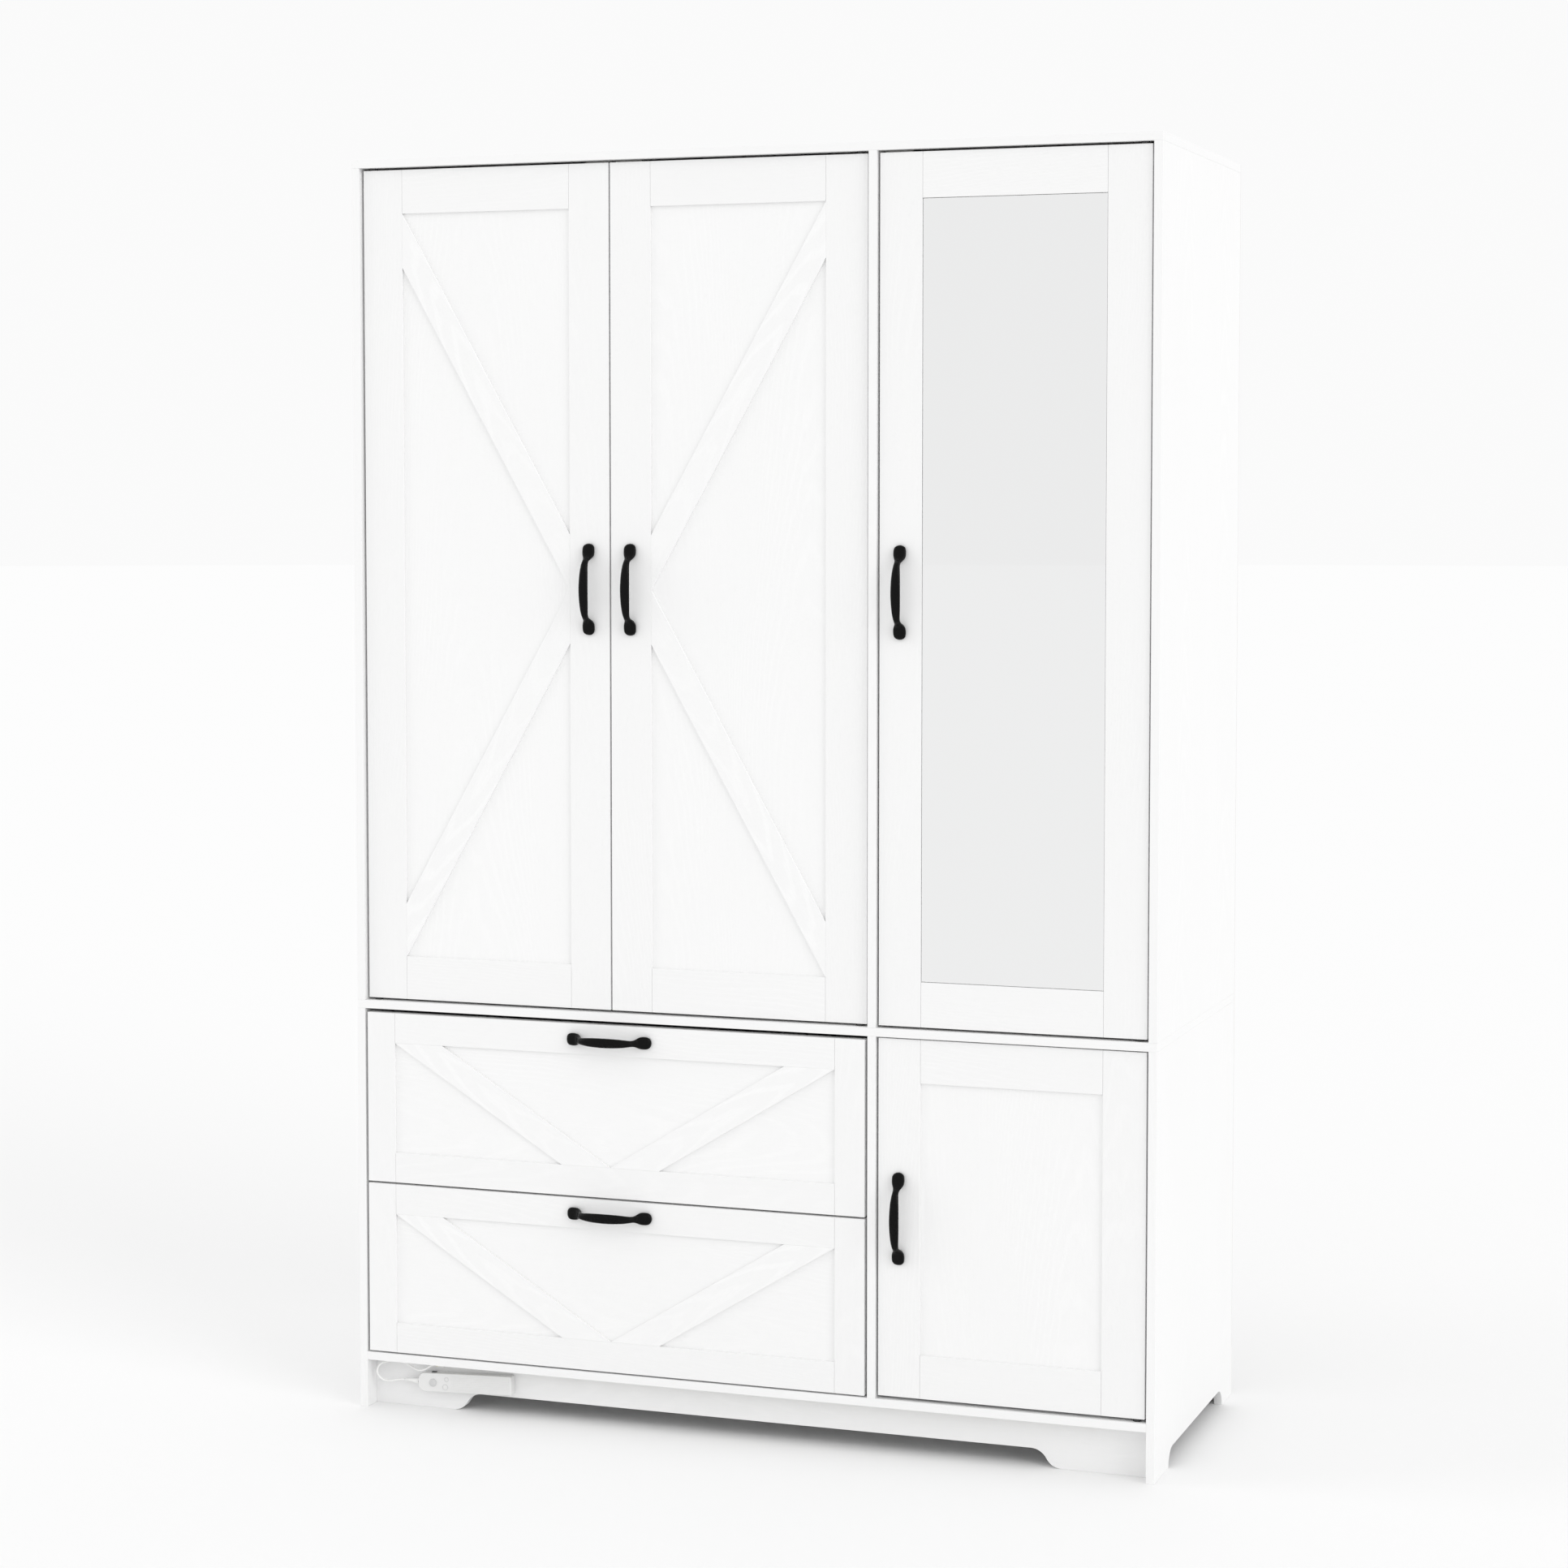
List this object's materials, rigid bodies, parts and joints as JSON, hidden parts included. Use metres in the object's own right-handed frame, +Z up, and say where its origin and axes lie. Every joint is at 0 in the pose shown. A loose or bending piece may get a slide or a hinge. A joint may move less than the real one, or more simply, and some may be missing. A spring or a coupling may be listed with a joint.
{
  "type": "armoire",
  "caption": "Tall free-standing armoire with a pair of K-braced doors, a mirror door, two V-braced drawers and a small framed door over a cut-out base.",
  "frame": {"origin": "on the floor, midway between the sides and midway from the handle tips to the back", "axes": "+Z up, the doors and drawers face -Y, +X to the right seen from the front"},
  "size_m": [1.2, 0.528, 1.83],
  "materials": {
    "white_laminate": "satin laminate with an embossed wood grain",
    "white_hardboard": "smooth painted hardboard",
    "black_metal": "satin black powder coat",
    "mirror": "polished",
    "chrome": "polished",
    "zinc": "zinc plated",
    "nylon": "matt",
    "white_plastic": "gloss",
    "lens": "milky",
    "black_plastic": "matt",
    "white_cord": "soft PVC"
  },
  "bodies": {
    "case": {"top_panel": "white_laminate", "middle_panel": "white_laminate", "bottom_panel": "white_laminate", "upper_side_left": "white_laminate", "upper_side_right": "white_laminate", "lower_side_left": "white_laminate", "lower_side_right": "white_laminate", "upper_divider": "white_laminate", "lower_divider": "white_laminate", "front_apron": "white_laminate", "rear_apron": "white_laminate", "back_panels": "white_hardboard", "hat_shelf": "white_laminate", "shelf_pins": "zinc", "adjustable_shelves": "white_laminate", "hanging_rod": "chrome", "rod_flanges": "chrome", "cam_fittings": "zinc", "pivot_bushes": "black_plastic", "door_catches": "nylon", "case_slides": "zinc", "wall_bracket": "zinc", "sensor_housing": "white_plastic", "sensor_lens": "lens", "cord_plug": "white_plastic", "light_strip": "white_plastic", "cord": "white_cord"},
    "door_left": {"door_left_panel": "white_laminate", "door_left_frame": "white_laminate", "door_left_brace": "white_laminate", "door_left_fittings": "zinc", "door_left_handle": "black_metal"},
    "door_right": {"door_right_panel": "white_laminate", "door_right_frame": "white_laminate", "door_right_brace": "white_laminate", "door_right_fittings": "zinc", "door_right_handle": "black_metal"},
    "door_mirror": {"door_mirror_panel": "white_laminate", "door_mirror_frame": "white_laminate", "mirror_glass": "mirror", "door_mirror_fittings": "zinc", "door_mirror_handle": "black_metal"},
    "door_small": {"door_small_panel": "white_laminate", "door_small_frame": "white_laminate", "door_small_fittings": "zinc", "door_small_handle": "black_metal"},
    "drawer_upper": {"drawer_upper_panel": "white_laminate", "drawer_upper_frame": "white_laminate", "drawer_upper_box": "white_laminate", "drawer_upper_bottom": "white_hardboard", "drawer_upper_handle": "black_metal", "drawer_upper_fittings": "zinc"},
    "drawer_lower": {"drawer_lower_panel": "white_laminate", "drawer_lower_frame": "white_laminate", "drawer_lower_box": "white_laminate", "drawer_lower_bottom": "white_hardboard", "drawer_lower_handle": "black_metal", "drawer_lower_fittings": "zinc"},
    "switch": {"sensor_switch": "black_plastic"}
  },
  "joints": [
    {"name": "door_left_hinge", "type": "hinge", "parent": "case", "child": "door_left", "pos_m": [-0.5725, -0.22, 1.212], "axis": [0, 0, -1], "range_deg": [0, 95]},
    {"name": "door_right_hinge", "type": "hinge", "parent": "case", "child": "door_right", "pos_m": [0.1725, -0.22, 1.212], "axis": [0, 0, 1], "range_deg": [0, 95]},
    {"name": "door_mirror_hinge", "type": "hinge", "parent": "case", "child": "door_mirror", "pos_m": [0.573, -0.223, 1.212], "axis": [0, 0, 1], "range_deg": [0, 95]},
    {"name": "door_small_hinge", "type": "hinge", "parent": "case", "child": "door_small", "pos_m": [0.573, -0.224, 0.33975], "axis": [0, 0, 1], "range_deg": [0, 95]},
    {"name": "drawer_upper_slide", "type": "slide", "parent": "case", "child": "drawer_upper", "axis": [0, -1, 0], "range_m": [0, 0.3]},
    {"name": "drawer_lower_slide", "type": "slide", "parent": "case", "child": "drawer_lower", "axis": [0, -1, 0], "range_m": [0, 0.3]},
    {"name": "switch_slide", "type": "slide", "parent": "case", "child": "switch", "axis": [0.9991, 0, 0.0419], "range_m": [0, 0.004]}
  ]
}
